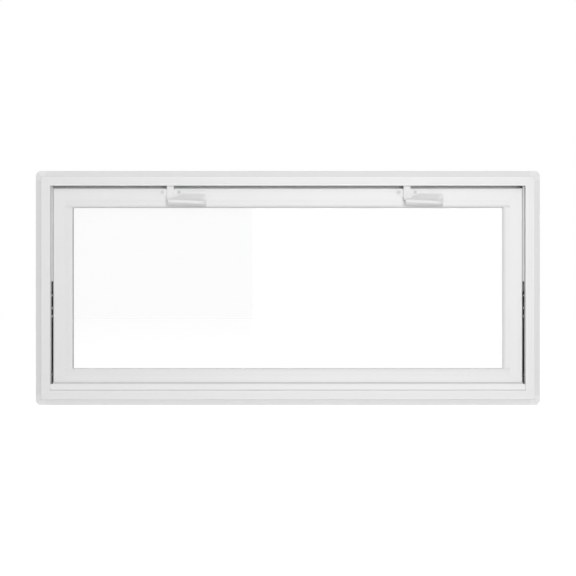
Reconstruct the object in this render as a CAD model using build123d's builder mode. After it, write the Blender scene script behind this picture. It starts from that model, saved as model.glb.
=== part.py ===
# Hopper window of white vinyl, closed, seen from the room side towards +Y
# Depths are taken back from the room face, and reaches inward from the outside edge
import os
from math import sqrt

from build123d import *

os.makedirs("parts", exist_ok=True)

# Frame, outside size
frame_width = 806.45
frame_height = 374.65
frame_depth = 82.5
frame_corner_cut = 5.5

# Frame section
frame_wall = 2.0
band_front = 3.0
band_edge_front = 7.0
face_inset = 9.2
face_reach = 24.0
lip_thickness = 3.0
lip_edge_radius = 1.4
pocket_floor = 12.0
stop_front = 44.5
stop_reach = 35.0
edge_radius = 1.0

# Sash
sash_gap = 3.5
sash_front = 10.0
sash_depth = 32.0
sash_wall = 2.2
sash_body = 20.0
sash_leg_reach = 26.0
sash_leg_thickness = 4.0
sash_edge_radius = 1.2

# Sealed glazing unit and what holds it
pane_thickness = 3.0
pane_gap = 13.0
pane_edge_gap = 1.3
glazing_tape = 1.0
tape_inset = 0.5
gasket_thickness = 0.8
gasket_show = 0.6
spacer_width = 5.5
bead_clearance = 0.05
bead_reach = 30.7
bead_land = 7.0
bead_drop = 1.6
bead_front_drop = 0.2
bead_edge_radius = 0.8

# Raised strip along the sill that holds the foot of the sash
strip_root_thickness = 2.0
strip_root_front = 4.0
strip_nose_front = 1.5
strip_nose_gap = 0.2
strip_top = 34.1
strip_end_gap = 0.1
strip_end_radius = 0.6
strip_top_radius = 1.6
strip_bottom_radius = 1.5

# Soft seal on the back of the strip, against the face of the sash
sill_seal_rise = 2.5
sill_seal_bottom = 29.0
sill_seal_gap = 0.3
sill_seal_radius = 1.0

# Cover strips across the side pockets, wide above the stays and narrow in front of them
filler_front = 9.3
filler_thickness = 1.5
filler_back = 30.0
filler_gap = 0.2
filler_narrow_reach = 24.4
filler_foot = 31.0
filler_rise = 0.7
filler_top_gap = 1.0

# Weatherstrip between the sash and the stop
seal_width = 3.0
seal_clearance = 0.1
seal_inset = 2.0

# Pivots at the foot of the sash
pivot_height = 37.0
pivot_depth = 26.0
pivot_radius = 3.0
pivot_running_gap = 0.05
pivot_into_sash = 6.0
pivot_into_block = 9.0
block_clearance = 0.3
block_depth = 22.0
block_top = 46.0
block_corner_radius = 2.5

# Side stays
track_thickness = 1.5
track_flange = 3.0
track_depth = 16.0
track_front = 11.0
track_bottom = 47.0
arm_thickness = 1.2
arm_width = 14.0
arm_front = 12.0
arm_bottom = 50.0
stay_gap = 0.2
bracket_thickness = 3.5
bracket_width = 14.0
bracket_height = 16.6
bracket_corner_radius = 2.0
bracket_rivet_height = 189.0
slider_length = 16.0
shoe_corner_radius = 3.0
rivet_into_slider = 4.0
rivet_radius = 1.5
rivet_gap = 0.05
rivet_head_radius = 2.2
rivet_head = 1.3
rivet_drops = (13.5, 34.0, 47.0)

# Latches on the top rail
latch_spacing = 378.2
latch_pivot_drop = 39.15
latch_offset = 1.5
plate_thickness = 2.5
plate_width = 36.0
plate_low_width = 12.0
plate_above_pivot = 9.6
plate_below_pivot = 3.6
plate_shoulder_rise = 2.8
plate_corner_radius = 1.2
plate_hole_spacing = 26.6
plate_hole_rise = 5.2
latch_screw_radius = 1.8
latch_screw_head_radius = 3.0
latch_screw_length = 9.0
latch_screw_recess = 0.15
latch_screw_gap = 0.1
latch_pin_radius = 2.5
latch_pin_gap = 0.08
latch_pin_length = 5.0

# Latch lever: heights from the pivot, with the ridge of the grip falling towards its free end
lever_proud = 10.0
lever_gap = 0.3
lever_length = 57.0
lever_overlap = 3.3
lever_rise = 3.0
lever_back = 2.5
lever_sheet = 3.4
flange_rise = 2.2
flange_sheet = 1.5
flange_bend = 4.0
ridge_thickness = 3.5
ridge_top_near = -5.4
ridge_top_far = -7.4
ridge_bottom_near = -11.6
ridge_bottom_far = -14.3
ridge_round = 2.2
lip_bottom_near = -16.2
lip_bottom_far = -17.4
lip_back = 4.5
lip_sheet = 1.6
lever_edge_radius = 0.6
grip_notch_width = 25.2
grip_notch_fall = 5.2
grip_corner_radius = 6.0
grip_foot_radius = 3.0
grip_end_steps = ((9.0, 0.0), (6.0, 0.9), (3.5, 2.5), (1.5, 4.6), (0.0, 6.8))
tongue_width = 11.2
tongue_thickness = 3.0
tongue_rise = 22.5
tongue_edge_radius = 0.6
boss_rise = 15.0
boss_front = -1.0
boss_foot_front = -6.0
boss_fall = 8.0

# Holes for installation screws, through both walls of each jamb
screw_hole_radius = 2.75
screw_hole_depth = 64.0
screw_hole_inset = 90.0

# Weep holes and their covers on the outside of the sill
weep_inset = 123.2
weep_length = 26.0
weep_height = 5.0
weep_rise = 8.0
weep_cover_length = 38.0
weep_cover_height = 11.0
weep_cover_proud = 2.5
weep_cover_wall = 1.2
weep_cover_radius = 2.0

# Places worked out from the sizes
mid_height = frame_height / 2
total_depth = lever_proud + frame_depth + weep_cover_proud
face_y = lever_proud - total_depth / 2
sash_reach = face_reach + sash_gap
sash_width = frame_width - 2 * sash_reach
sash_height = frame_height - 2 * sash_reach
sash_back = sash_front + sash_depth
unit_thickness = 2 * pane_thickness + pane_gap
leg_front = sash_back - sash_leg_thickness
unit_back = leg_front - glazing_tape
unit_front = unit_back - unit_thickness
bead_back = unit_front - gasket_thickness
pane_reach = sash_body + pane_edge_gap
pane_width = sash_width - 2 * pane_reach
pane_height = sash_height - 2 * pane_reach
sight_width = sash_width - 2 * bead_reach
sight_height = sash_height - 2 * bead_reach
latch_height = frame_height - latch_pivot_drop
weep_spacing = frame_width - 2 * weep_inset
arm_top = bracket_rivet_height + arm_width / 2
filler_wide_bottom = bracket_rivet_height + bracket_height / 2 + filler_rise
cut_length = frame_width + frame_height


def place(depth):
    """World Y of a depth behind the room face."""
    return face_y + depth


def facing(depth, x=0.0, z=mid_height):
    """Upright plane at a depth, looking into the room, with its origin at x and z."""
    return Plane(origin=(x, place(depth), z), x_dir=(1, 0, 0), z_dir=(0, -1, 0))


def upright_plane(x, depth, height=0.0):
    """Plane facing +X at x, with depth along its x and height along its y."""
    return Plane(origin=(x, place(depth), height), x_dir=(0, 1, 0), z_dir=(1, 0, 0))


# The four edges of a rectangle: the way inward, along X and Z
sides = {"top": (0, -1), "bottom": (0, 1), "left": (1, 0), "right": (-1, 0)}


def edge_origin(side, width, height):
    """Middle of one outer edge of a centred rectangle."""
    inward_x, inward_z = sides[side]
    return (-inward_x * width / 2, face_y, mid_height - inward_z * height / 2)


def section_plane(side, width, height):
    """Plane across a bar, with depth along its x and the way inward along its y."""
    inward_x, inward_z = sides[side]
    return Plane(
        origin=edge_origin(side, width, height),
        x_dir=(0, 1, 0),
        z_dir=(inward_z, 0, -inward_x),
    )


def mitre_plane(side, width, height):
    """Plane on the room face, along a bar, with the way inward along its y."""
    inward_x, inward_z = sides[side]
    return Plane(
        origin=edge_origin(side, width, height),
        x_dir=(inward_z, 0, -inward_x),
        z_dir=(0, -1, 0),
    )


def bar_length(side, width, height):
    """Outside length of the bar on one side."""
    return width if side in ("top", "bottom") else height


def mitre_cut(side, width, height, reach):
    """Keeps the part of a bar between its two mitres."""
    half = bar_length(side, width, height) / 2
    with BuildSketch(mitre_plane(side, width, height)) as outline:
        with BuildLine():
            Polyline(
                (-half, 0),
                (half, 0),
                (half - reach, reach),
                (reach - half, reach),
                close=True,
            )
        make_face()
    extrude(outline.sketch, amount=cut_length, both=True, mode=Mode.INTERSECT)


# Frame: four hollow extrusions, mitred and welded at the corners
def frame_section(side):
    """Sloped outer band, raised face with its lip, pocket and stop, with two chambers."""
    with BuildSketch(section_plane(side, frame_width, frame_height)) as section:
        with BuildLine():
            Polyline(
                (band_edge_front, 0),
                (frame_depth, 0),
                (frame_depth, stop_reach),
                (stop_front, stop_reach),
                (stop_front, pocket_floor),
                (lip_thickness, pocket_floor),
                (lip_thickness, face_reach),
                (0, face_reach),
                (0, face_inset),
                (band_front, face_inset),
                close=True,
            )
        make_face()
        face_edges = section.vertices().group_by(Axis.X)[0].sort_by(Axis.Y)
        fillet(face_edges[0], edge_radius)
        fillet(face_edges[-1], lip_edge_radius)
        fillet(section.vertices().group_by(Axis.X)[-1], edge_radius)
        room_chamber = stop_front - band_edge_front - frame_wall
        room_chamber_reach = pocket_floor - 2 * frame_wall
        with Locations((band_edge_front + frame_wall, frame_wall)):
            Rectangle(room_chamber, room_chamber_reach, align=(Align.MIN, Align.MIN), mode=Mode.SUBTRACT)
        outer_chamber = frame_depth - stop_front - 2 * frame_wall
        outer_chamber_reach = stop_reach - 2 * frame_wall
        with Locations((stop_front + frame_wall, frame_wall)):
            Rectangle(outer_chamber, outer_chamber_reach, align=(Align.MIN, Align.MIN), mode=Mode.SUBTRACT)
    return section.sketch


def frame_bar(side):
    """One mitred bar of the frame with its corners cut, walled off inside behind the cuts."""
    extrude(frame_section(side), amount=bar_length(side, frame_width, frame_height) / 2, both=True)
    corner_fill = frame_corner_cut + frame_wall * sqrt(2)
    with BuildSketch(facing(band_edge_front + frame_wall)) as corners:
        with GridLocations(frame_width, frame_height, 2, 2):
            RegularPolygon(corner_fill, 4)
    extrude(corners.sketch, amount=band_edge_front + 2 * frame_wall - frame_depth)
    mitre_cut(side, frame_width, frame_height, stop_reach)
    with BuildSketch(facing(0)) as outside:
        Rectangle(frame_width, frame_height)
        chamfer(outside.vertices(), frame_corner_cut)
    extrude(outside.sketch, amount=cut_length, both=True, mode=Mode.INTERSECT)


with BuildPart() as frame_head:
    frame_bar("top")
frame_head.part.label = "frame_head"

with BuildPart() as frame_sill:
    frame_bar("bottom")
    with BuildSketch(facing(frame_depth, z=weep_rise)):
        with GridLocations(weep_spacing, 0, 2, 1):
            SlotOverall(weep_length, weep_height)
    extrude(amount=frame_wall, mode=Mode.SUBTRACT)
frame_sill.part.label = "frame_sill"


def jamb_screw_holes(x):
    """Two level holes through both walls of a jamb, near its ends."""
    hole_spacing = frame_height - 2 * screw_hole_inset
    with BuildSketch(upright_plane(x, screw_hole_depth, mid_height)) as holes:
        with GridLocations(0, hole_spacing, 1, 2):
            Circle(screw_hole_radius)
    extrude(holes.sketch, amount=2 * stop_reach, both=True, mode=Mode.SUBTRACT)


with BuildPart() as frame_jamb_left:
    frame_bar("left")
    jamb_screw_holes(-frame_width / 2)
frame_jamb_left.part.label = "frame_jamb_left"

with BuildPart() as frame_jamb_right:
    frame_bar("right")
    jamb_screw_holes(frame_width / 2)
frame_jamb_right.part.label = "frame_jamb_right"

# Raised strip, clipped into the pocket of the sill behind its lip
strip_back = strip_root_front + strip_root_thickness
strip_nose_bottom = face_reach + strip_nose_gap

with BuildPart() as sill_strip:
    strip_length = frame_width - 2 * face_reach - 2 * strip_end_gap
    with BuildSketch(section_plane("bottom", frame_width, frame_height)) as strip_section:
        with BuildLine():
            Polyline(
                (strip_root_front, pocket_floor),
                (strip_back, pocket_floor),
                (strip_back, strip_top),
                (strip_nose_front, strip_top),
                (strip_nose_front, strip_nose_bottom),
                (strip_root_front, strip_nose_bottom),
                close=True,
            )
        make_face()
        nose_corners = strip_section.vertices().group_by(Axis.X)[0].sort_by(Axis.Y)
        fillet(nose_corners[0], strip_bottom_radius)
        fillet(nose_corners[-1], strip_top_radius)
    extrude(amount=strip_length / 2, both=True)
    nose_ends = sill_strip.edges().filter_by(Axis.Z).group_by(Axis.Y)[0]
    fillet(nose_ends, strip_end_radius)
sill_strip.part.label = "sill_strip"

# Soft seal on the back of the strip, which shows as a line above it
with BuildPart() as sill_seal:
    seal_thickness = sash_front - strip_back - sill_seal_gap
    with BuildSketch(section_plane("bottom", frame_width, frame_height)) as seal_section:
        with Locations((strip_back, sill_seal_bottom)):
            Rectangle(
                seal_thickness,
                strip_top + sill_seal_rise - sill_seal_bottom,
                align=(Align.MIN, Align.MIN),
            )
        fillet(seal_section.vertices().group_by(Axis.Y)[-1].sort_by(Axis.X)[0], sill_seal_radius)
    extrude(amount=sash_width / 2, both=True)
sill_seal.part.label = "sill_seal"


# Cover strips: an angle on the floor of each side pocket, with its flange across the gap
def pocket_point(side, depth, reach):
    """Plan point at a depth and at a reach inward from the outer edge; side is -1 at the left."""
    return (side * (frame_width / 2 - reach), place(depth))


def jamb_filler(side):
    """Angle above the stay, cut back to a narrow flange in front of it; side is -1 at the left."""
    flange_back = filler_front + filler_thickness
    leg_reach = pocket_floor + filler_thickness
    wide_reach = sash_reach - filler_gap
    filler_top = frame_height - pocket_floor - filler_top_gap
    with BuildSketch(Plane.XY.offset(filler_wide_bottom)) as angle:
        with BuildLine():
            Polyline(
                pocket_point(side, filler_front, pocket_floor),
                pocket_point(side, filler_back, pocket_floor),
                pocket_point(side, filler_back, leg_reach),
                pocket_point(side, flange_back, leg_reach),
                pocket_point(side, flange_back, wide_reach),
                pocket_point(side, filler_front, wide_reach),
                close=True,
            )
        make_face()
    extrude(angle.sketch, amount=filler_top - filler_wide_bottom)
    with BuildSketch(Plane.XY.offset(filler_foot)) as flange:
        with BuildLine():
            Polyline(
                pocket_point(side, filler_front, pocket_floor),
                pocket_point(side, flange_back, pocket_floor),
                pocket_point(side, flange_back, filler_narrow_reach),
                pocket_point(side, filler_front, filler_narrow_reach),
                close=True,
            )
        make_face()
    extrude(flange.sketch, amount=filler_wide_bottom - filler_foot)


with BuildPart() as jamb_filler_left:
    jamb_filler(-1)
jamb_filler_left.part.label = "jamb_filler_left"

with BuildPart() as jamb_filler_right:
    jamb_filler(1)
jamb_filler_right.part.label = "jamb_filler_right"


# Sash: four hollow extrusions with an outer glazing leg, mitred and welded
def sash_section(side):
    """Square body with one chamber, and a leg that the glass bears on."""
    with BuildSketch(section_plane(side, sash_width, sash_height)) as section:
        with BuildLine():
            Polyline(
                (sash_front, 0),
                (sash_back, 0),
                (sash_back, sash_leg_reach),
                (leg_front, sash_leg_reach),
                (leg_front, sash_body),
                (sash_front, sash_body),
                close=True,
            )
        make_face()
        fillet(section.vertices().group_by(Axis.X)[0].sort_by(Axis.Y)[0], sash_edge_radius)
        chamber_depth = sash_depth - 2 * sash_wall
        chamber_reach = sash_body - 2 * sash_wall
        with Locations((sash_front + sash_wall, sash_wall)):
            Rectangle(chamber_depth, chamber_reach, align=(Align.MIN, Align.MIN), mode=Mode.SUBTRACT)
    return section.sketch


def sash_bar(side):
    """One mitred bar of the sash, made in the part block that is open."""
    extrude(sash_section(side), amount=bar_length(side, sash_width, sash_height) / 2, both=True)
    mitre_cut(side, sash_width, sash_height, sash_leg_reach)


def level_rod(x, depth, height, radius, length, mode=Mode.ADD):
    """Round rod or hole along X, centred on x."""
    with BuildSketch(upright_plane(x, depth, height)) as end:
        Circle(radius)
    extrude(end.sketch, amount=length / 2, both=True, mode=mode)


sash_edge_x = sash_width / 2
pivot_hole_radius = pivot_radius + pivot_running_gap

with BuildPart() as sash_top_rail:
    sash_bar("top")
    with BuildSketch(facing(sash_front, latch_offset, latch_height + plate_hole_rise)):
        with GridLocations(latch_spacing, 0, 2, 1):
            with GridLocations(plate_hole_spacing, 0, 2, 1):
                Circle(latch_screw_radius + latch_screw_gap)
    extrude(amount=-sash_wall, mode=Mode.SUBTRACT)
sash_top_rail.part.label = "sash_top_rail"

with BuildPart() as sash_bottom_rail:
    sash_bar("bottom")
sash_bottom_rail.part.label = "sash_bottom_rail"

with BuildPart() as sash_stile_left:
    sash_bar("left")
    level_rod(-sash_edge_x, pivot_depth, pivot_height, pivot_hole_radius, 2 * pivot_into_sash, Mode.SUBTRACT)
sash_stile_left.part.label = "sash_stile_left"

with BuildPart() as sash_stile_right:
    sash_bar("right")
    level_rod(sash_edge_x, pivot_depth, pivot_height, pivot_hole_radius, 2 * pivot_into_sash, Mode.SUBTRACT)
sash_stile_right.part.label = "sash_stile_right"


# Sealed unit: two panes on a spacer, between a gasket and a bedding tape
def pane(depth):
    """Sheet of glass whose room side lies at a depth."""
    with BuildSketch(facing(depth)) as sheet:
        Rectangle(pane_width, pane_height)
    extrude(sheet.sketch, amount=-pane_thickness)


def ring(depth, thickness, outer_width, outer_height, inner_width, inner_height):
    """Flat rectangular ring whose room side lies at a depth."""
    with BuildSketch(facing(depth)) as loop:
        Rectangle(outer_width, outer_height)
        Rectangle(inner_width, inner_height, mode=Mode.SUBTRACT)
    extrude(loop.sketch, amount=-thickness)


with BuildPart() as glass_inner:
    pane(unit_front)
glass_inner.part.label = "glass_inner"

with BuildPart() as glass_outer:
    pane(unit_back - pane_thickness)
glass_outer.part.label = "glass_outer"

with BuildPart() as glass_spacer:
    ring(
        unit_front + pane_thickness,
        pane_gap,
        pane_width,
        pane_height,
        pane_width - 2 * spacer_width,
        pane_height - 2 * spacer_width,
    )
glass_spacer.part.label = "glass_spacer"

with BuildPart() as glazing_gasket:
    ring(
        bead_back,
        gasket_thickness,
        pane_width,
        pane_height,
        sight_width - 2 * gasket_show,
        sight_height - 2 * gasket_show,
    )
glazing_gasket.part.label = "glazing_gasket"

with BuildPart() as bedding_tape:
    tape_reach = sash_leg_reach - tape_inset
    ring(
        unit_back,
        glazing_tape,
        pane_width,
        pane_height,
        sash_width - 2 * tape_reach,
        sash_height - 2 * tape_reach,
    )
bedding_tape.part.label = "bedding_tape"


# Glazing beads: the level ones run through, and the upright ones stand between them
def bead(side, length):
    """Sloped bead that snaps in front of the glass, square at its ends."""
    bead_outer = sash_body + bead_clearance
    with BuildSketch(section_plane(side, sash_width, sash_height)) as section:
        with BuildLine():
            Polyline(
                (bead_back, bead_outer),
                (bead_back, bead_reach),
                (sash_front + bead_drop, bead_reach),
                (sash_front + bead_front_drop, bead_outer + bead_land),
                (sash_front + bead_front_drop, bead_outer),
                close=True,
            )
        make_face()
        fillet(section.vertices().group_by(Axis.Y)[-1].sort_by(Axis.X)[0], bead_edge_radius)
    extrude(section.sketch, amount=length / 2, both=True)


level_bead_length = sash_width - 2 * (sash_body + bead_clearance)
upright_bead_length = sight_height

with BuildPart() as glazing_bead_top:
    bead("top", level_bead_length)
glazing_bead_top.part.label = "glazing_bead_top"

with BuildPart() as glazing_bead_bottom:
    bead("bottom", level_bead_length)
glazing_bead_bottom.part.label = "glazing_bead_bottom"

with BuildPart() as glazing_bead_left:
    bead("left", upright_bead_length)
glazing_bead_left.part.label = "glazing_bead_left"

with BuildPart() as glazing_bead_right:
    bead("right", upright_bead_length)
glazing_bead_right.part.label = "glazing_bead_right"

# Weatherstrip on the stop, which the back of the sash closes against
with BuildPart() as weatherstrip:
    seal_reach = sash_reach + seal_inset
    seal_outer_width = frame_width - 2 * seal_reach
    seal_outer_height = frame_height - 2 * seal_reach
    ring(
        sash_back + seal_clearance,
        stop_front - sash_back - seal_clearance,
        seal_outer_width,
        seal_outer_height,
        seal_outer_width - 2 * seal_width,
        seal_outer_height - 2 * seal_width,
    )
weatherstrip.part.label = "weatherstrip"


# Pivots: a block in the foot of each jamb's pocket, and a pin from it into the sash
def pivot_block(side):
    """Block on the pocket floor, bored for the pin; side is -1 at the left."""
    inner_x = side * (frame_width / 2 - pocket_floor)
    block_reach = sash_reach - pocket_floor - block_clearance
    block_height = block_top - pocket_floor
    block_centre = pocket_floor + block_height / 2
    with BuildSketch(
        Plane(origin=(inner_x, place(pivot_depth), block_centre), x_dir=(0, 1, 0), z_dir=(-side, 0, 0))
    ) as outline:
        RectangleRounded(block_depth, block_height, block_corner_radius)
    extrude(outline.sketch, amount=block_reach)
    level_rod(inner_x, pivot_depth, pivot_height, pivot_hole_radius, 2 * block_reach, Mode.SUBTRACT)


with BuildPart() as pivot_block_left:
    pivot_block(-1)
pivot_block_left.part.label = "pivot_block_left"

with BuildPart() as pivot_block_right:
    pivot_block(1)
pivot_block_right.part.label = "pivot_block_right"


def pivot_pin(side):
    """Steel pin across the gap between the block and the stile."""
    pin_length = pivot_into_block + pivot_into_sash
    pin_x = side * (sash_edge_x + (pivot_into_block - pivot_into_sash) / 2)
    level_rod(pin_x, pivot_depth, pivot_height, pivot_radius, pin_length)


with BuildPart() as pivot_pin_left:
    pivot_pin(-1)
pivot_pin_left.part.label = "pivot_pin_left"

with BuildPart() as pivot_pin_right:
    pivot_pin(1)
pivot_pin_right.part.label = "pivot_pin_right"


# Side stays: a track in the jamb's pocket, a slider in it, an arm and a bracket on the sash
def stay_track(side):
    """Steel channel on the pocket floor, open towards the sash."""
    floor_x = side * (frame_width / 2 - pocket_floor)
    track_length = arm_top - track_bottom
    middle = (floor_x, place(track_front + track_depth / 2), (arm_top + track_bottom) / 2)
    with BuildSketch(Plane(origin=middle, x_dir=(0, side, 0), z_dir=(0, 0, 1))) as section:
        Rectangle(track_depth, track_flange, align=(Align.CENTER, Align.MIN))
        with Locations((0, track_thickness)):
            Rectangle(
                track_depth - 2 * track_thickness,
                track_flange,
                align=(Align.CENTER, Align.MIN),
                mode=Mode.SUBTRACT,
            )
    extrude(section.sketch, amount=track_length / 2, both=True)


with BuildPart() as stay_track_left:
    stay_track(-1)
stay_track_left.part.label = "stay_track_left"

with BuildPart() as stay_track_right:
    stay_track(1)
stay_track_right.part.label = "stay_track_right"


# Layers of the stay, measured outward from the edge of the sash
arm_inner = bracket_thickness + stay_gap
arm_outer = arm_inner + arm_thickness
arm_centre_depth = arm_front + arm_width / 2
arm_foot_height = arm_bottom + arm_width / 2
rivet_heights = tuple(bracket_rivet_height - drop for drop in rivet_drops)
slider_inner = arm_outer + stay_gap
slider_outer = sash_reach - pocket_floor - track_thickness - stay_gap


def outward(side, distance):
    """World X of a distance outward from the edge of the sash."""
    return side * (sash_edge_x + distance)


def rivet_holes(side, heights, inner, outer):
    """Holes along X through one layer of the stay."""
    for height in heights:
        middle = outward(side, (inner + outer) / 2)
        level_rod(middle, arm_centre_depth, height, rivet_radius + rivet_gap, outer - inner, Mode.SUBTRACT)


def stay_bracket(side):
    """Short steel plate between the edge of the stile and the head of the arm."""
    with BuildSketch(upright_plane(outward(side, 0), arm_centre_depth)) as outline:
        with Locations((0, bracket_rivet_height)):
            RectangleRounded(bracket_width, bracket_height, bracket_corner_radius)
    extrude(outline.sketch, amount=side * bracket_thickness)
    rivet_holes(side, (bracket_rivet_height,), 0, bracket_thickness)


def stay_arm(side):
    """Flat steel bar with round ends, upright while the sash is shut."""
    arm_length = arm_top - arm_bottom
    with BuildSketch(upright_plane(outward(side, arm_inner), arm_centre_depth)) as outline:
        with Locations((0, arm_bottom + arm_length / 2)):
            SlotOverall(arm_length, arm_width, rotation=90)
    extrude(outline.sketch, amount=side * arm_thickness)
    rivet_holes(side, rivet_heights + (bracket_rivet_height, arm_foot_height), arm_inner, arm_outer)


def stay_slider(side):
    """Moulded shoe that runs in the track and carries the foot of the arm."""
    shoe_width = track_depth - 2 * track_thickness - 2 * stay_gap
    shoe_centre = track_front + track_depth / 2
    with BuildSketch(upright_plane(outward(side, slider_inner), shoe_centre)) as outline:
        with Locations((0, arm_foot_height)):
            RectangleRounded(shoe_width, slider_length, shoe_corner_radius)
    extrude(outline.sketch, amount=side * (slider_outer - slider_inner))
    rivet_holes(side, (arm_foot_height,), slider_inner, slider_inner + rivet_into_slider)


def rivet(side, height, radius, inner, outer):
    """Rod along X between two distances outward from the edge of the sash."""
    level_rod(outward(side, (inner + outer) / 2), arm_centre_depth, height, radius, outer - inner)


def stay_rivets(side):
    """Steel rivets through the arm with low heads, and one at each end that joins it to its neighbour."""
    head_gap = stay_gap / 2
    head_inner = arm_inner - head_gap - rivet_head
    head_outer = arm_outer + head_gap + rivet_head
    for height in rivet_heights:
        rivet(side, height, rivet_head_radius, head_inner, arm_inner - head_gap)
        rivet(side, height, rivet_radius, arm_inner - head_gap, arm_outer + head_gap)
        rivet(side, height, rivet_head_radius, arm_outer + head_gap, head_outer)
    rivet(side, bracket_rivet_height, rivet_radius, 0, arm_outer + head_gap)
    rivet(side, bracket_rivet_height, rivet_head_radius, arm_outer + head_gap, head_outer)
    rivet(side, arm_foot_height, rivet_radius, arm_inner, slider_inner + rivet_into_slider)


with BuildPart() as stay_bracket_left:
    stay_bracket(-1)
stay_bracket_left.part.label = "stay_bracket_left"

with BuildPart() as stay_bracket_right:
    stay_bracket(1)
stay_bracket_right.part.label = "stay_bracket_right"

with BuildPart() as stay_arm_left:
    stay_arm(-1)
stay_arm_left.part.label = "stay_arm_left"

with BuildPart() as stay_arm_right:
    stay_arm(1)
stay_arm_right.part.label = "stay_arm_right"

with BuildPart() as stay_slider_left:
    stay_slider(-1)
stay_slider_left.part.label = "stay_slider_left"

with BuildPart() as stay_slider_right:
    stay_slider(1)
stay_slider_right.part.label = "stay_slider_right"

with BuildPart() as stay_rivets_left:
    stay_rivets(-1)
stay_rivets_left.part.label = "stay_rivets_left"

with BuildPart() as stay_rivets_right:
    stay_rivets(1)
stay_rivets_right.part.label = "stay_rivets_right"

# Latches: a plate screwed to the top rail, and a lever whose tongue goes up behind the lip
plate_front = sash_front - plate_thickness
lever_root = plate_front - lever_gap


def latch_x(side):
    """World X of a latch's pivot."""
    return side * latch_spacing / 2 + latch_offset


def latch_base(side):
    """Boat-shaped plate with a pin for the lever and two countersunk screw holes."""
    x = latch_x(side)
    with BuildSketch(facing(sash_front, x, latch_height)) as outline:
        with BuildLine():
            Polyline(
                (-plate_width / 2, plate_above_pivot),
                (-plate_width / 2, plate_shoulder_rise),
                (-plate_low_width / 2, -plate_below_pivot),
                (plate_low_width / 2, -plate_below_pivot),
                (plate_width / 2, plate_shoulder_rise),
                (plate_width / 2, plate_above_pivot),
                close=True,
            )
        make_face()
        fillet(outline.vertices(), plate_corner_radius)
    extrude(outline.sketch, amount=plate_thickness)
    with Locations(facing(plate_front, x, latch_height + plate_hole_rise)):
        with GridLocations(plate_hole_spacing, 0, 2, 1):
            CounterSinkHole(
                latch_screw_radius + latch_screw_gap,
                latch_screw_head_radius + latch_screw_recess + latch_screw_gap,
                counter_sink_angle=90,
            )
    with BuildSketch(facing(plate_front, x, latch_height)) as pin_root:
        Circle(latch_pin_radius)
    extrude(pin_root.sketch, amount=latch_pin_length)


def latch_screws(side):
    """Two countersunk screws, driven into the top rail."""
    for hole_side in (-1, 1):
        screw_x = latch_x(side) + hole_side * plate_hole_spacing / 2
        head_face = facing(plate_front + latch_screw_recess, screw_x, latch_height + plate_hole_rise)
        with BuildSketch(head_face) as head:
            Circle(latch_screw_head_radius)
        with BuildSketch(head_face.offset(latch_screw_radius - latch_screw_head_radius)) as neck:
            Circle(latch_screw_radius)
        loft([head.sketch.face(), neck.sketch.face()])
        extrude(neck.sketch, amount=-latch_screw_length)


def grip_section(x, proud, ridge_top, ridge_bottom, lip_bottom):
    """Section of the grip at x: a sloped sheet, a rounded ridge, and a lip turned back under it."""
    ridge_back = ridge_thickness - proud
    flange_back = lever_back + flange_sheet
    with BuildSketch(upright_plane(x, 0, latch_height)) as section:
        with BuildLine():
            Polyline(
                (lever_back, lever_rise + flange_rise),
                (lever_back, lever_rise),
                (ridge_back, ridge_top),
                (-proud, ridge_top - ridge_round),
                (-proud, ridge_bottom),
                (lip_back - proud, lip_bottom),
                (lip_back - proud + lip_sheet, lip_bottom),
                (ridge_back, ridge_bottom),
                (ridge_back, ridge_top - lever_sheet),
                (flange_back, lever_rise - lever_sheet),
                (flange_back, lever_rise + flange_rise),
                close=True,
            )
        make_face()
        bend = section.vertices().sort_by_distance((lever_back, lever_rise))[0]
        fillet(bend, flange_bend)
        front_corners = section.vertices().group_by(Axis.X)[0]
        fillet(front_corners, ridge_round)
        back_corners = section.vertices().group_by(Axis.X)[-1]
        fillet(back_corners, lever_edge_radius)
    return section.sketch.face()


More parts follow.
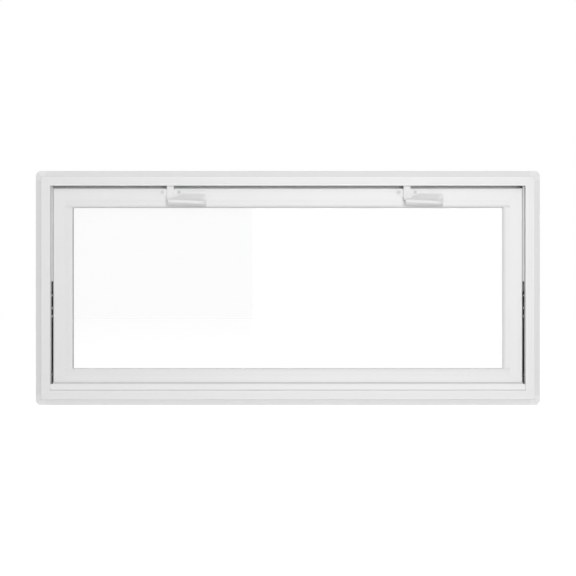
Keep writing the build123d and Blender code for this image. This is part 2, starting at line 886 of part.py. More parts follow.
def latch_lever(side):
    """Tongue and boss on the pin, and a sloped finger grip to the right of them."""
    x = latch_x(side)
    near_x = x - lever_overlap
    far_x = x + lever_length
    lever_top = lever_rise + flange_rise
    grip_middle = latch_height + (lever_top + lip_bottom_far) / 2
    grip_height = lever_top - lip_bottom_far
    sections = [grip_section(near_x, lever_proud, ridge_top_near, ridge_bottom_near, lip_bottom_near)]
    for from_end, setback in grip_end_steps:
        station = grip_section(
            far_x - from_end,
            lever_proud - setback,
            ridge_top_far,
            ridge_bottom_far,
            lip_bottom_far,
        )
        sections.append(station)
    loft(sections, ruled=True)
    with BuildSketch(facing(lever_root, (near_x + far_x) / 2, grip_middle)) as outline:
        Rectangle(far_x - near_x, grip_height)
        end_corners = outline.vertices().group_by(Axis.X)[-1].sort_by(Axis.Y)
        fillet(end_corners[-1], grip_corner_radius)
        fillet(end_corners[0], grip_foot_radius)
    extrude(outline.sketch, amount=lever_root + lever_proud, mode=Mode.INTERSECT)
    with BuildSketch(facing(lever_root, x, latch_height)) as notch:
        with BuildLine():
            Polyline(
                (-tongue_width / 2, lever_top),
                (grip_notch_width, lever_top),
                (tongue_width / 2, -grip_notch_fall),
                (-tongue_width / 2, -grip_notch_fall),
                close=True,
            )
        make_face()
    extrude(notch.sketch, amount=lever_root + lever_proud, mode=Mode.SUBTRACT)
    with BuildSketch(upright_plane(x, 0, latch_height)) as tongue:
        with BuildLine():
            Polyline(
                (lever_root, -boss_fall),
                (lever_root, tongue_rise),
                (lever_root - tongue_thickness, tongue_rise),
                (lever_root - tongue_thickness, boss_rise),
                (boss_front, -grip_notch_fall),
                (boss_foot_front, -grip_notch_fall),
                (boss_foot_front, -boss_fall),
                close=True,
            )
        make_face()
        fillet(tongue.vertices().group_by(Axis.Y)[-1], tongue_edge_radius)
    extrude(tongue.sketch, amount=tongue_width / 2, both=True)
    with BuildSketch(facing(lever_root, x, latch_height)) as bore:
        Circle(latch_pin_radius + latch_pin_gap)
    extrude(bore.sketch, amount=latch_pin_length, mode=Mode.SUBTRACT)


with BuildPart() as latch_base_left:
    latch_base(-1)
latch_base_left.part.label = "latch_base_left"

with BuildPart() as latch_base_right:
    latch_base(1)
latch_base_right.part.label = "latch_base_right"

with BuildPart() as latch_screws_left:
    latch_screws(-1)
latch_screws_left.part.label = "latch_screws_left"

with BuildPart() as latch_screws_right:
    latch_screws(1)
latch_screws_right.part.label = "latch_screws_right"

with BuildPart() as latch_lever_left:
    latch_lever(-1)
latch_lever_left.part.label = "latch_lever_left"

with BuildPart() as latch_lever_right:
    latch_lever(1)
latch_lever_right.part.label = "latch_lever_right"


# Weep covers: small hoods over the drain slots outside
def weep_cover(side):
    """Hollow hood on the outer face of the sill, open at its foot."""
    x = side * weep_spacing / 2
    with BuildSketch(facing(frame_depth, x, weep_rise)) as hood:
        RectangleRounded(weep_cover_length, weep_cover_height, weep_cover_radius)
    extrude(hood.sketch, amount=-weep_cover_proud)
    with BuildSketch(facing(frame_depth, x, weep_rise - weep_cover_wall)) as hollow:
        Rectangle(weep_cover_length - 2 * weep_cover_radius, weep_cover_height)
    extrude(hollow.sketch, amount=weep_cover_wall - weep_cover_proud, mode=Mode.SUBTRACT)


with BuildPart() as weep_cover_left:
    weep_cover(-1)
weep_cover_left.part.label = "weep_cover_left"

with BuildPart() as weep_cover_right:
    weep_cover(1)
weep_cover_right.part.label = "weep_cover_right"

pieces = [
    frame_head,
    frame_sill,
    frame_jamb_left,
    frame_jamb_right,
    sill_strip,
    sill_seal,
    jamb_filler_left,
    jamb_filler_right,
    sash_top_rail,
    sash_bottom_rail,
    sash_stile_left,
    sash_stile_right,
    glass_inner,
    glass_outer,
    glass_spacer,
    glazing_gasket,
    bedding_tape,
    glazing_bead_top,
    glazing_bead_bottom,
    glazing_bead_left,
    glazing_bead_right,
    weatherstrip,
    pivot_block_left,
    pivot_block_right,
    pivot_pin_left,
    pivot_pin_right,
    stay_track_left,
    stay_track_right,
    stay_bracket_left,
    stay_bracket_right,
    stay_arm_left,
    stay_arm_right,
    stay_slider_left,
    stay_slider_right,
    stay_rivets_left,
    stay_rivets_right,
    latch_base_left,
    latch_base_right,
    latch_screws_left,
    latch_screws_right,
    latch_lever_left,
    latch_lever_right,
    weep_cover_left,
    weep_cover_right,
]
for piece in pieces:
    export_step(piece.part, f"parts/{piece.part.label}.step")
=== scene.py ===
import math

import bmesh
import bpy
from mathutils import Matrix, Vector


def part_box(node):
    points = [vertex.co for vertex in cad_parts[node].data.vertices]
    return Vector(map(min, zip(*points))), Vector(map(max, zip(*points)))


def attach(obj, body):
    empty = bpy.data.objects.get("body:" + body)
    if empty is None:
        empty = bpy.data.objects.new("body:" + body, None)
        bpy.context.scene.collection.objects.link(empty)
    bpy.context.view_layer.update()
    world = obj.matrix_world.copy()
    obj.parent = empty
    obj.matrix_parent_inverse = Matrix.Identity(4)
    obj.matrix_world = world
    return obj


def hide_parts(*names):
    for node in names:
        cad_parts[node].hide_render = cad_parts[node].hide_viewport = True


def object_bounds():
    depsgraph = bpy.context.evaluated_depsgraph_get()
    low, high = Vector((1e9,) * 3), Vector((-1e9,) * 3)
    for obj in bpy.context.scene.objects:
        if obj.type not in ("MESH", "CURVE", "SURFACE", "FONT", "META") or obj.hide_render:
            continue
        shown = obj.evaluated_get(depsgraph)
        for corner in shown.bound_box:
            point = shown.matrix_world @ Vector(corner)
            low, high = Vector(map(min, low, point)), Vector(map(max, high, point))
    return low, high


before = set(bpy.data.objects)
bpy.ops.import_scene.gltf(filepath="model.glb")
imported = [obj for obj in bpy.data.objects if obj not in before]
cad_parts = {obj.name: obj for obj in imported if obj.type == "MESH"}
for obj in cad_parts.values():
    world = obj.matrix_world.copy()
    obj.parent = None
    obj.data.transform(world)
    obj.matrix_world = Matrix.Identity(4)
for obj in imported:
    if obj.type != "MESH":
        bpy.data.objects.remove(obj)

cad_low, cad_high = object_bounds()

# Frame: four hollow bars of stiff white vinyl.
# Each is drawn through a die in long lengths, cut at 45 degrees, and welded to the next at the corners,
# where the bead of the weld is scraped off and the outer corner is milled back.
# The corners of the outer band are also painted lighter: painted light, where the face beside them casts no
# shade.
half_width = cad_high.x
half_height = cad_high.z / 2
room_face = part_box("frame_head")[0].y
level_axis = 0
upright_axis = 2
band_width = 0.0092
band_depth = 0.007
groove_reaches = (0.0143, 0.0186)
groove_half_width = (0.0001, 0.0005)
groove_fall = 1.2
seam_half_width = (0.0002, 0.0007)
seam_fall = 0.55
scraped_half_width = (0.0018, 0.0026)
# Where and how strongly the corners of the band get painted light.
corner_light_reach = (0.0150, 0.0168)
corner_light_edge = 0.0005
corner_light_fade = 0.001
corner_light_share = 0.35
vinyl_stretch = 0.02
vinyl_relief = 0.0001
vinyl_roughness = 0.36
vinyl_ior = 1.46
frame_white = (0.866, 0.866, 0.868)


class Shade:
    """One output in a finish's node tree. Sums written on it become Math nodes."""

    def __init__(self, finish, socket):
        self.finish = finish
        self.socket = socket

    def sibling(self, name):
        """Another output of the same node."""
        return Shade(self.finish, self.socket.node.outputs[name])

    def sum(self, operation, *values):
        """A Math node on outputs and plain numbers."""
        return self.finish.node("ShaderNodeMath", {"operation": operation}, dict(enumerate(values)))

    def __add__(self, other):
        return self.sum("ADD", self, other)

    def __radd__(self, other):
        return self.sum("ADD", other, self)

    def __sub__(self, other):
        return self.sum("SUBTRACT", self, other)

    def __rsub__(self, other):
        return self.sum("SUBTRACT", other, self)

    def __mul__(self, other):
        return self.sum("MULTIPLY", self, other)

    def __rmul__(self, other):
        return self.sum("MULTIPLY", other, self)

    def __truediv__(self, other):
        return self.sum("DIVIDE", self, other)

    def __rtruediv__(self, other):
        return self.sum("DIVIDE", other, self)

    def __abs__(self):
        return self.sum("ABSOLUTE", self)

    def least(self, other):
        return self.sum("MINIMUM", self, other)

    def most(self, other):
        return self.sum("MAXIMUM", self, other)

    def part(self):
        """What is left after the whole numbers are taken off."""
        return self.sum("FRACT", self)

    def rise(self, low, high):
        """0 below low, 1 above high, with a soft step between."""
        return self.finish.node(
            "ShaderNodeMapRange",
            {"interpolation_type": "SMOOTHSTEP"},
            {"Value": self, "From Min": low, "From Max": high},
        )


def tint(colour, amount):
    """A colour made lighter or darker, with its alpha."""
    return tuple(min(1.0, channel * amount) for channel in colour) + (1.0,)


class Finish:
    """The nodes of a material or of the surround: its main shader, and one way to add any other node."""

    def __init__(self, holder, shader="Principled BSDF"):
        holder.use_nodes = True
        self.holder = holder
        self.tree = holder.node_tree
        self.skin = self.tree.nodes[shader]

    def feed(self, socket, value):
        """Links an output to the socket, or sets the socket's own value."""
        if isinstance(value, Shade):
            self.tree.links.new(value.socket, socket)
        else:
            socket.default_value = value

    def node(self, kind, settings=None, sockets=None, output=0):
        """Adds a node by its type, its settings, what its sockets hold, and which output is wanted."""
        made = self.tree.nodes.new(kind)
        for name, value in (settings or {}).items():
            setattr(made, name, value)
        for name, value in (sockets or {}).items():
            self.feed(made.inputs[name], value)
        return Shade(self, made.outputs[output])

    def set(self, **sockets):
        """Feeds the main shader's sockets, written with _ for a space."""
        for name, value in sockets.items():
            self.feed(self.skin.inputs[name.replace("_", " ")], value)

    def point(self):
        """The three coordinates of the point on the object, in metres."""
        place = self.node("ShaderNodeTexCoord", output="Object")
        x = self.node("ShaderNodeSeparateXYZ", None, {0: place})
        return x, x.sibling("Y"), x.sibling("Z")

    def noise(self, scale, stretch=(1, 1, 1), detail=2.0, roughness=0.5):
        """Cloudy pattern of 0 to 1, with so many clouds to a metre."""
        place = self.node("ShaderNodeTexCoord", output="Object")
        stretched = self.node("ShaderNodeVectorMath", {"operation": "MULTIPLY"}, {0: place, 1: stretch})
        return self.node(
            "ShaderNodeTexNoise",
            None,
            {"Vector": stretched, "Scale": scale, "Detail": detail, "Roughness": roughness},
            "Fac",
        )

    def blend(self, mask, first, second):
        """From the first colour to the second. A Mix node has its colours on inputs 6 and 7 and output 2."""
        return self.node("ShaderNodeMix", {"data_type": "RGBA"}, {"Factor": mask, 6: first, 7: second}, 2)

    def mottle(self, mask, colour, darkest, lightest):
        """A colour times the darkest amount where the mask is 0, and times the lightest where it is 1."""
        return self.blend(mask, tint(colour, darkest), tint(colour, lightest))

    def bump(self, height, depth):
        """Height 1 stands the given depth proud, in metres."""
        return self.node("ShaderNodeBump", None, {"Height": height, "Distance": depth}, "Normal")


def drawn_along(axis, share):
    """Stretches noise into long lines along one axis."""
    return tuple(share if index == axis else 1.0 for index in range(3))


def vinyl(name, axis, white, grooves=(), corner_light_amount=0.0):
    """Fine draw lines along the bar, welded seams at the mitres, grooves at set reaches, and painted light
    on the band's corners, where the face casts no shade.
    """
    finish = Finish(bpy.data.materials.new(name))
    x, y, z = finish.point()
    lengthwise = drawn_along(axis, vinyl_stretch)
    draw_lines = finish.noise(scale=700.0, stretch=lengthwise, detail=3.0)
    waves = finish.noise(scale=7.0, stretch=lengthwise)
    grain = finish.noise(scale=2400.0)
    smudge = finish.noise(scale=11.0, detail=4.0, roughness=0.6)
    reach_x = half_width - abs(x)
    reach_z = half_height - abs(z - half_height)
    reach = reach_z if axis == level_axis else reach_x
    off_mitre = abs(reach_x - reach_z)
    seam = 1 - off_mitre.rise(*seam_half_width)
    scraped = 1 - off_mitre.rise(*scraped_half_width)
    height = draw_lines * 0.10 + grain * 0.05 - seam * seam_fall
    for groove_reach in grooves:
        in_groove = 1 - abs(reach - groove_reach).rise(*groove_half_width)
        height = height - in_groove * groove_fall
    tone = waves * 0.5 + draw_lines * 0.25 + smudge * 0.25 - seam * 0.5
    colour = finish.mottle(tone, white, darkest=0.975, lightest=1.02)
    # Painted light: the band is whitened near each corner, where the face beside it casts no shade.
    if corner_light_amount:
        near_end = 1 - reach_x.most(reach_z).rise(*corner_light_reach)
        on_band = 1 - reach_x.least(reach_z).rise(band_width - corner_light_edge, band_width)
        in_front = 1 - y.rise(room_face + band_depth, room_face + band_depth + corner_light_fade)
        corner_lit_mask = near_end * on_band * in_front
        colour = finish.blend(corner_lit_mask * corner_light_amount, colour, (1, 1, 1, 1))
    finish.set(
        Base_Color=colour,
        Roughness=vinyl_roughness + waves * 0.06 + smudge * 0.05 + scraped * 0.05,
        Normal=finish.bump(height, vinyl_relief),
        IOR=vinyl_ior,
    )
    return finish.holder


def dress(material, *nodes):
    """Gives carried-over pieces their finish."""
    for node in nodes:
        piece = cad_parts[node]
        piece.data.materials.clear()
        piece.data.materials.append(material)


frame_level = vinyl("frame_level", level_axis, frame_white, groove_reaches, corner_light_share)
frame_upright = vinyl("frame_upright", upright_axis, frame_white, groove_reaches, corner_light_share)
dress(frame_level, "frame_head", "frame_sill")
dress(frame_upright, "frame_jamb_left", "frame_jamb_right")


# Cover strips: thin angles of stiff vinyl in the side pockets of the frame, painted a pale grey as painted
# shade for the depth of the pockets.
# They are cut square and pushed in, above and in front of the stays.
filler_shade_grey = (0.68, 0.68, 0.68)
dress(vinyl("filler_shaded_vinyl", upright_axis, filler_shade_grey), "jamb_filler_left", "jamb_filler_right")


# Sill strip: a thin vinyl section with a rounded nose, clipped into the pocket of the sill.
# Its ends are rounded over by hand, and it is painted a little whiter than the bars: painted light on its
# face, which tilts up to the lamps.
strip_lit_white = (0.895, 0.895, 0.895)
dress(vinyl("strip_lit_vinyl", level_axis, strip_lit_white), "sill_strip")


# Seal behind the sill strip: flexible vinyl, drawn in one length, painted pale grey.
# The foot of the sash pinches it, and its grey edge is painted shade: the thin dark line above the strip.
sill_seal_shade_grey = 0.66


def rubber(name, grey, roughness):
    """Dull flexible seal with faint level lines and a fine bloom."""
    finish = Finish(bpy.data.materials.new(name))
    lines = finish.noise(scale=1100.0, stretch=drawn_along(level_axis, share=0.03), detail=3.0)
    bloom = finish.noise(scale=90.0, detail=4.0, roughness=0.65)
    colour = (grey, grey, grey * 1.01)
    finish.set(
        Base_Color=finish.mottle(bloom * 0.7 + lines * 0.3, colour, darkest=0.9, lightest=1.1),
        Roughness=roughness + bloom * 0.12,
        Normal=finish.bump(lines, depth=0.00004),
    )
    return finish.holder


dress(rubber("sill_seal_shaded_vinyl", sill_seal_shade_grey, roughness=0.5), "sill_seal")


# Sash: four smaller hollow bars of the same stiff vinyl, which carry the glass.
# They are cut at 45 degrees and welded at the corners like the frame.
sash_white = (0.868, 0.868, 0.87)
dress(vinyl("sash_level", level_axis, sash_white), "sash_top_rail", "sash_bottom_rail")
dress(vinyl("sash_upright", upright_axis, sash_white), "sash_stile_left", "sash_stile_right")


# Glazing beads: narrow vinyl strips that snap into the sash in front of the glass.
# The level ones run through, and the upright ones are cut square to stand between them.
bead_white = (0.855, 0.855, 0.857)
dress(vinyl("bead_level", level_axis, bead_white), "glazing_bead_top", "glazing_bead_bottom")
dress(vinyl("bead_upright", upright_axis, bead_white), "glazing_bead_left", "glazing_bead_right")


# Glazing gasket: dark lip of flexible vinyl, pinched between the beads and the inner pane.
# Only its rounded edge looks out from under the beads. It sits a hair to the right and low.
gasket_low, gasket_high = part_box("glazing_gasket")
gasket_grey = 0.22
gasket_reach = 0.0097
gasket_side_step = 0.00045
gasket_drop = 0.0001
lip_radius = 0.0004
lip_steps = 6


def solid(name, mesh, material, sharp_degrees=40.0):
    """Makes a piece from a finished mesh, smooth except at its sharp edges."""
    bmesh.ops.recalc_face_normals(mesh, faces=mesh.faces)
    data = bpy.data.meshes.new(name)
    mesh.to_mesh(data)
    mesh.free()
    for face in data.polygons:
        face.use_smooth = True
    data.set_sharp_from_angle(angle=math.radians(sharp_degrees))
    data.materials.append(material)
    piece = bpy.data.objects.new(name, data)
    bpy.context.scene.collection.objects.link(piece)
    return piece


def neighbours(loop):
    """Each item of a closed loop with the next one."""
    return list(zip(loop, loop[1:] + loop[:1]))


def ring(node, profile):
    """Sweeps a closed profile of reach and depth round the box of a piece, mitred at its corners."""
    low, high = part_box(node)
    half_high = (high.z - low.z) / 2
    mesh = bmesh.new()
    corners = []
    for side, end in ((-1, -1), (1, -1), (1, 1), (-1, 1)):
        corner = []
        for reach, depth in profile:
            place = (side * (high.x - reach), depth, half_height + end * (half_high - reach))
            corner.append(mesh.verts.new(place))
        corners.append(corner)
    for corner, following in neighbours(corners):
        for (start, end), (far_start, far_end) in zip(neighbours(corner), neighbours(following)):
            mesh.faces.new((start, far_start, far_end, end))
    return mesh


def arc(centre, radius, first, last, steps):
    """Points of an arc in reach and depth, from one angle to another in degrees."""
    points = []
    for step in range(steps + 1):
        angle = math.radians(first + (last - first) * step / steps)
        points.append((centre[0] + radius * math.cos(angle), centre[1] + radius * math.sin(angle)))
    return points


lip_centre = (gasket_reach - lip_radius, gasket_low.y + lip_radius)
gasket_profile = [(0.0, gasket_high.y), (0.0, gasket_low.y)]
gasket_profile += arc(lip_centre, lip_radius, -90, 90, lip_steps)
gasket = solid(
    "glazing_gasket_lip",
    ring("glazing_gasket", gasket_profile),
    rubber("gasket_rubber", gasket_grey, roughness=0.55),
)
gasket.data.transform(Matrix.Translation((gasket_side_step, 0, -gasket_drop)))
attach(gasket, "root")
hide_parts("glazing_gasket")


# Bedding tape: dark grey closed-cell foam, sticky on both sides.
# It lies between the outer leg of the sash and the outer pane.
tape_grey = 0.35


def foam(name, grey):
    """Dull foam with small pores."""
    finish = Finish(bpy.data.materials.new(name))
    pores = finish.noise(scale=1300.0, detail=3.0, roughness=0.7)
    finish.set(
        Base_Color=finish.mottle(pores, (grey, grey, grey), darkest=0.8, lightest=1.15),
        Roughness=0.8 + pores * 0.15,
        Normal=finish.bump(pores, depth=0.0001),
    )
    return finish.holder


dress(foam("tape_foam", tape_grey), "bedding_tape")


# Glass: two clear panes of float glass, sealed round a spacer into one unit.
# Light goes almost straight through them, with a faint green cast.
glass_tint = (0.95, 0.985, 0.97, 1)
glass_ior = 1.52
glass_cover = 0.04


def clear_glass():
    """Clear pane with a slight haze of wiping marks."""
    finish = Finish(bpy.data.materials.new("window_glass"))
    wiped = finish.noise(scale=14.0, stretch=(1, 1, 3), detail=4.0, roughness=0.6)
    finish.set(Base_Color=glass_tint, Roughness=0.01 + wiped * 0.02, IOR=glass_ior, Alpha=glass_cover)
    return finish.holder


dress(clear_glass(), "glass_inner", "glass_outer")


# Spacer: rolled aluminium tube between the panes, with shoulders for the sealant.
# The face towards the air space has a row of small breathing holes.
spacer_low, spacer_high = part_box("glass_spacer")
spacer_reach = 0.0055
shoulder = 0.0016
face_edge = 0.0004
hole_pitch = 0.0035
hole_half_length = (0.0004, 0.0006)
hole_half_width = (0.0002, 0.0004)
hole_black = (0.04, 0.04, 0.04, 1)
spacer_dark = (0.66, 0.67, 0.68, 1)
spacer_bright = (0.76, 0.77, 0.78, 1)


def spacer_metal():
    """Bright mill finish with roll lines, and dark dots where the holes are."""
    finish = Finish(bpy.data.materials.new("spacer_metal"))
    x, y, z = finish.point()
    inner_half_high = (spacer_high.z - spacer_low.z) / 2 - spacer_reach
    on_level = abs(z - half_height).rise(inner_half_high - face_edge, inner_half_high)
    along = z + (x - z) * on_level
    off_hole = abs((along / hole_pitch).part() - 0.5) * hole_pitch
    off_middle = abs(y - (spacer_low.y + spacer_high.y) / 2)
    hole = (1 - off_hole.rise(*hole_half_length)) * (1 - off_middle.rise(*hole_half_width))
    lines = finish.noise(scale=900.0, stretch=(0.05, 1.0, 0.05), detail=3.0)
    finish.set(
        Base_Color=finish.blend(hole, finish.blend(lines, spacer_dark, spacer_bright), hole_black),
        Roughness=0.34 + lines * 0.12,
        Normal=finish.bump(lines * 0.2 - hole, depth=0.0001),
        Metallic=1.0,
    )
    return finish.holder


spacer_profile = [
    (0.0, spacer_low.y + 2 * shoulder),
    (shoulder, spacer_low.y),
    (spacer_reach, spacer_low.y),
    (spacer_reach, spacer_high.y),
    (shoulder, spacer_high.y),
    (0.0, spacer_high.y - 2 * shoulder),
]
spacer = solid("spacer_bar", ring("glass_spacer", spacer_profile), spacer_metal())
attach(spacer, "root")
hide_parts("glass_spacer")


# Weatherstrip: a soft bulb on a flat foot, of flexible vinyl drawn in one length.
# It is pushed on the stop all the way round, and the back of the sash presses its bulb.
seal_low, seal_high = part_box("weatherstrip")
seal_width = 0.003
seal_foot = 0.0007
bulb_inset = 0.0002
bulb_steps = 10
bulb_sharp_degrees = 55.0
bulb_grey = 0.3
foot_top = seal_high.y - seal_foot
bulb_stretch = (foot_top - seal_low.y) / (seal_width / 2)
half_round = arc((seal_width / 2, foot_top), seal_width / 2 - bulb_inset, -180, 0, bulb_steps)
bulb = [(reach, foot_top + (depth - foot_top) * bulb_stretch) for reach, depth in half_round]
seal_profile = [(0.0, seal_high.y), (0.0, foot_top)]
seal_profile += bulb + [(seal_width, foot_top), (seal_width, seal_high.y)]
weatherstrip = solid(
    "bulb_seal",
    ring("weatherstrip", seal_profile),
    rubber("bulb_rubber", bulb_grey, roughness=0.6),
    bulb_sharp_degrees,
)
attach(weatherstrip, "root")
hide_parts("weatherstrip")


# Pivots: moulded black nylon blocks in the feet of the side pockets.
# A bright steel pin goes from each block into the sash, which tilts about the two pins.
nylon_black = (0.035, 0.035, 0.037)
pin_grey = (0.68, 0.68, 0.69)


def moulding(name, colour, roughness, orange_peel):
    """Moulded or enamelled surface with a fine skin texture."""
    finish = Finish(bpy.data.materials.new(name))
    skin = finish.noise(scale=1400.0, detail=3.0)
    clouds = finish.noise(scale=55.0, detail=3.0)
    finish.set(
        Base_Color=finish.mottle(clouds, colour, darkest=0.95, lightest=1.05),
        Roughness=roughness + skin * 0.1,
        Normal=finish.bump(skin, orange_peel),
    )
    return finish.holder


def plated(name, colour, roughness):
    """Zinc plate with fine turning marks."""
    finish = Finish(bpy.data.materials.new(name))
    marks = finish.noise(scale=1800.0, stretch=(1, 0.2, 1), detail=3.0)
    bloom = finish.noise(scale=160.0, detail=3.0)
    finish.set(
        Base_Color=finish.mottle(bloom, colour, darkest=0.88, lightest=1.08),
        Roughness=roughness + marks * 0.15,
        Normal=finish.bump(marks, depth=0.00003),
        Metallic=1.0,
    )
    return finish.holder


black_nylon = moulding("black_nylon", nylon_black, roughness=0.45, orange_peel=0.00004)
dress(black_nylon, "pivot_block_left", "pivot_block_right")
dress(plated("bright_steel", pin_grey, roughness=0.24), "pivot_pin_left", "pivot_pin_right")


# Side stays: on each side a track, an arm and a bracket of strip steel, pressed and coated black.
# The arm hangs from the bracket on the sash, and its foot runs in the track on a nylon shoe.
stay_black = (0.03, 0.03, 0.032)
black_steel = moulding("black_steel", stay_black, roughness=0.34, orange_peel=0.00003)
for side in ("left", "right"):
    dress(black_steel, "stay_track_" + side, "stay_bracket_" + side, "stay_arm_" + side)
    dress(black_nylon, "stay_slider_" + side)


# Stay rivets: zinc-plated steel, with low domed heads pressed on both sides of the arm.
# One more joins the arm to the bracket, and a plain one joins its foot to the shoe.
rivet_heights = (0.142, 0.155, 0.1755)
bracket_rivet_height = 0.189
rivet_radius = 0.0015
head_radius = 0.0022
head_rise = 0.0013
head_gap = 0.0001
rim_share = 0.5
crown_share = 0.75
dome_degrees = (0, 20, 40, 60, 80)
turn_steps = 24
rivet_grey = (0.9, 0.9, 0.9)
rivet_zinc = plated("rivet_zinc", rivet_grey, roughness=0.38)


def turned(mesh, start, axis, profile):
    """Adds a turned shape from pairs of distance along the axis and radius, and gives its first ring."""
    axis = Vector(axis)
    side = axis.orthogonal().normalized()
    up = axis.cross(side)
    rings = []
    for distance, radius in profile:
        centre = Vector(start) + axis * distance
        points = []
        for step in range(turn_steps if radius else 1):
            angle = 2 * math.pi * step / turn_steps
            points.append(mesh.verts.new(centre + (side * math.cos(angle) + up * math.sin(angle)) * radius))
        rings.append(points)
    for near, far in zip(rings, rings[1:]):
        for step in range(turn_steps):
            after = (step + 1) % turn_steps
            if len(near) == 1:
                mesh.faces.new((near[0], far[step], far[after]))
            elif len(far) == 1:
                mesh.faces.new((near[step], near[after], far[0]))
            else:
                mesh.faces.new((near[step], near[after], far[after], far[step]))
    return rings[0]


def domed_rivet(start, end, two_heads):
    """Profile of a rivet from start to end, with a dome on its end, or one on each end."""
    dome = [(0.0, head_radius)]
    for degrees in dome_degrees:
        angle = math.radians(degrees)
        rise = head_rise * (rim_share + (1 - rim_share) * math.sin(angle))
        dome.append((rise, head_radius * (crown_share + (1 - crown_share) * math.cos(angle))))
    foot = [(start, 0.0)]
    if two_heads:
        foot = [(start - head_rise, 0.0)] + [(start - rise, radius) for rise, radius in reversed(dome)]
    head = [(end + rise, radius) for rise, radius in dome] + [(end + head_rise, 0.0)]
    return foot + [(start, rivet_radius), (end, rivet_radius)] + head


def side_span(node):
    """How near and how far a piece at one side lies from the middle of the window."""
    low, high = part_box(node)
    return sorted((abs(low.x), abs(high.x)))


for side, sign in (("left", -1), ("right", 1)):
    sash_edge = side_span("sash_stile_" + side)[1]
    arm_inner, arm_outer = side_span("stay_arm_" + side)
    foot_end = side_span("stay_rivets_" + side)[1]
    foot_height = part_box("stay_rivets_" + side)[0].z + rivet_radius
    arm_low, arm_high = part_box("stay_arm_" + side)
    rivet_depth = (arm_low.y + arm_high.y) / 2
    through = domed_rivet(arm_inner - head_gap, arm_outer + head_gap, two_heads=True)
    upper = domed_rivet(sash_edge, arm_outer + head_gap, two_heads=False)
    foot = [(arm_inner, 0.0), (arm_inner, rivet_radius), (foot_end, rivet_radius), (foot_end, 0.0)]
    mesh = bmesh.new()
    for height in rivet_heights:
        turned(mesh, (0, rivet_depth, height), (sign, 0, 0), through)
    turned(mesh, (0, rivet_depth, bracket_rivet_height), (sign, 0, 0), upper)
    turned(mesh, (0, rivet_depth, foot_height), (sign, 0, 0), foot)
    rivets = solid("stay_rivet_set_" + side, mesh, rivet_zinc)
    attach(rivets, "root")
    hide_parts("stay_rivets_" + side)


# Latches: die-cast plates and levers in white enamel, screwed to the top rail.
# The lever turns on a pin of the plate, and its tongue stands up behind the lip of the head.
enamel_white = (0.885, 0.885, 0.887)
latch_white = moulding("latch_white", enamel_white, roughness=0.56, orange_peel=0.00004)
for side in ("left", "right"):
    dress(latch_white, "latch_base_" + side, "latch_lever_" + side)


# Latch screws: countersunk steel screws with a cross recess, enamelled, and painted greyer than the latches
# as shade in the screw marks.
# Two of them hold each plate to the top rail.
screw_head_radius = 0.003
screw_radius = 0.0018
edge_round = 0.00015
recess_length = 0.0016
recess_half_width = 0.00042
recess_depth = 0.0011
recess_taper = 0.55
plate_hole_spacing = 0.0266
screw_shade_grey = (0.70, 0.70, 0.70)
screw_shaded_enamel = moulding("screw_shaded_enamel", screw_shade_grey, roughness=0.4, orange_peel=0.00003)


def cross_recess(mesh, centre, face_ring):
    """Closes the ring of a screw's face round a cross-shaped recess."""
    a, b = recess_half_width, recess_length
    outline = [
        (b, -a), (b, a), (a, a), (a, b), (-a, b), (-a, a),
        (-b, a), (-b, -a), (-a, -a), (-a, -b), (a, -b), (a, -a),
    ]
    rim = [mesh.verts.new(centre + Vector((u, 0, v))) for u, v in outline]
    floor = []
    for u, v in outline:
        place = centre + Vector((u * recess_taper, recess_depth, v * recess_taper))
        floor.append(mesh.verts.new(place))
    for (start, end), (floor_start, floor_end) in zip(neighbours(rim), neighbours(floor)):
        mesh.faces.new((start, end, floor_end, floor_start))
    mesh.faces.new(floor)
    edges = [mesh.edges.get(pair) for pair in neighbours(face_ring) + neighbours(rim)]
    bmesh.ops.triangle_fill(mesh, use_beauty=True, edges=edges)


for side in ("left", "right"):
    screws_low, screws_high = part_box("latch_screws_" + side)
    screw_middle = (screws_low + screws_high) / 2
    screw_length = screws_high.y - screws_low.y
    screw_profile = [
        (0.0, screw_head_radius - edge_round),
        (edge_round, screw_head_radius),
        (screw_head_radius - screw_radius, screw_radius),
        (screw_length, screw_radius),
        (screw_length, 0.0),
    ]
    mesh = bmesh.new()
    for hole_side in (-1, 1):
        hole_x = screw_middle.x + hole_side * plate_hole_spacing / 2
        start = Vector((hole_x, screws_low.y, screw_middle.z))
        cross_recess(mesh, start, turned(mesh, start, (0, 1, 0), screw_profile))
    screws = solid("latch_screw_pair_" + side, mesh, screw_shaded_enamel)
    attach(screws, "root")
    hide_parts("latch_screws_" + side)


# Weep covers: small hoods of moulded white plastic.
# They snap in over the drain slots on the outside of the sill.
cover_white = (0.84, 0.84, 0.842)
cover_plastic = moulding("cover_plastic", cover_white, roughness=0.4, orange_peel=0.00004)
dress(cover_plastic, "weep_cover_left", "weep_cover_right")


# Studio floor: a wide matt board, pale, under the window.
# It glows a little where it is seen, so that it reads as white.
floor_size = 12.0
floor_gap = 0.0005
floor_glow = 0.72
floor_grey = 0.85


def seen(finish):
    """1 for what the camera sees straight, in a mirror or through glass, 0 for light on the object."""
    rays = finish.node("ShaderNodeLightPath")
    straight_or_mirrored = rays.sibling("Is Camera Ray").most(rays.sibling("Is Glossy Ray"))
    return straight_or_mirrored.most(rays.sibling("Is Transmission Ray"))


def floor_board():
    """Matt pale board with a glow that lights nothing else."""
    finish = Finish(bpy.data.materials.new("studio_floor"))
    glow = finish.blend(seen(finish), (0, 0, 0, 1), (floor_glow, floor_glow, floor_glow, 1))
    finish.set(
        Base_Color=(floor_grey, floor_grey, floor_grey, 1),
        Roughness=0.9,
        Specular_IOR_Level=0.0,
        Emission_Color=glow,
        Emission_Strength=1.0,
    )
    return finish.holder


floor_mesh = bmesh.new()
bmesh.ops.create_grid(floor_mesh, x_segments=1, y_segments=1, size=floor_size / 2)
floor = solid("studio_floor", floor_mesh, floor_board())
floor.location.z = -floor_gap


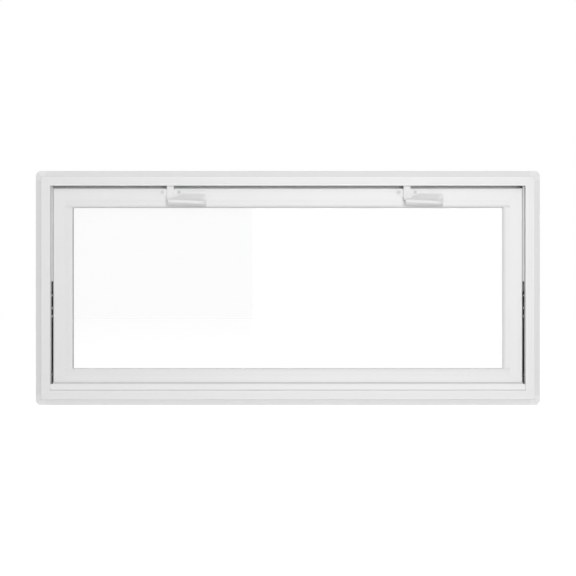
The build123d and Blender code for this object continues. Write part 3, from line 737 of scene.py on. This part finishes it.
# Surround: an even pale light from all sides.
# It is plain white where the camera sees it, straight, in a mirror or through glass.
surround_light = 0.34
white = (1, 1, 1, 1)
surround = Finish(bpy.data.worlds.new("studio"), "Background")
surround.set(Color=white, Strength=surround_light)
lit = Shade(surround, surround.skin.outputs[0])
plain = surround.node("ShaderNodeBackground", None, {"Color": white, "Strength": 1.0})
shown = surround.node("ShaderNodeMixShader", None, {"Fac": seen(surround), 1: lit, 2: plain})
surround.feed(surround.tree.nodes["World Output"].inputs["Surface"], shown)
bpy.context.scene.world = surround.holder


# Lamps: a large soft one ahead, a little to the right, and a weaker one above it.
# Both are aimed at the middle of the window.
window_middle = Vector((0, room_face, half_height))


def soft_lamp(name, azimuth, elevation, distance, size, watts):
    """Square lamp aimed at the middle of the window; azimuth to the right of straight ahead."""
    turn = math.radians(azimuth)
    lift = math.radians(elevation)
    away = Vector((math.sin(turn) * math.cos(lift), -math.cos(turn) * math.cos(lift), math.sin(lift)))
    lamp_data = bpy.data.lights.new(name, "AREA")
    lamp_data.shape = "SQUARE"
    lamp_data.size = size
    lamp_data.energy = watts
    lamp = bpy.data.objects.new(name, lamp_data)
    lamp.location = window_middle + away * distance
    lamp.rotation_euler = (-away).to_track_quat("-Z", "Y").to_euler()
    bpy.context.scene.collection.objects.link(lamp)


soft_lamp("front_lamp", azimuth=6.5, elevation=1.0, distance=3.2, size=1.0, watts=57.0)
soft_lamp("top_lamp", azimuth=3.0, elevation=36.0, distance=4.5, size=1.4, watts=20.0)


# Camera: square on from the room, with the middle of the window in the middle of the picture.
# The outline of the frame lies a little behind its face, and fills a set share of the picture's width.
camera_distance = 2.2
camera_side_step = 0.0003
outline_depth = 0.009
outline_share = 0.8743
nearest_seen = 0.05
farthest_seen = 50.0
outline_distance = camera_distance + outline_depth
picture_width = 2 * half_width / outline_share * camera_distance / outline_distance
camera_data = bpy.data.cameras.new("room_camera")
camera_data.lens = camera_data.sensor_width * camera_distance / picture_width
camera_data.clip_start = nearest_seen
camera_data.clip_end = farthest_seen
camera = bpy.data.objects.new("room_camera", camera_data)
camera.location = (camera_side_step, room_face - camera_distance, half_height)
camera.rotation_euler = (math.radians(90), 0, 0)
bpy.context.scene.collection.objects.link(camera)
bpy.context.scene.camera = camera

bpy.context.scene.view_settings.view_transform = "Standard"
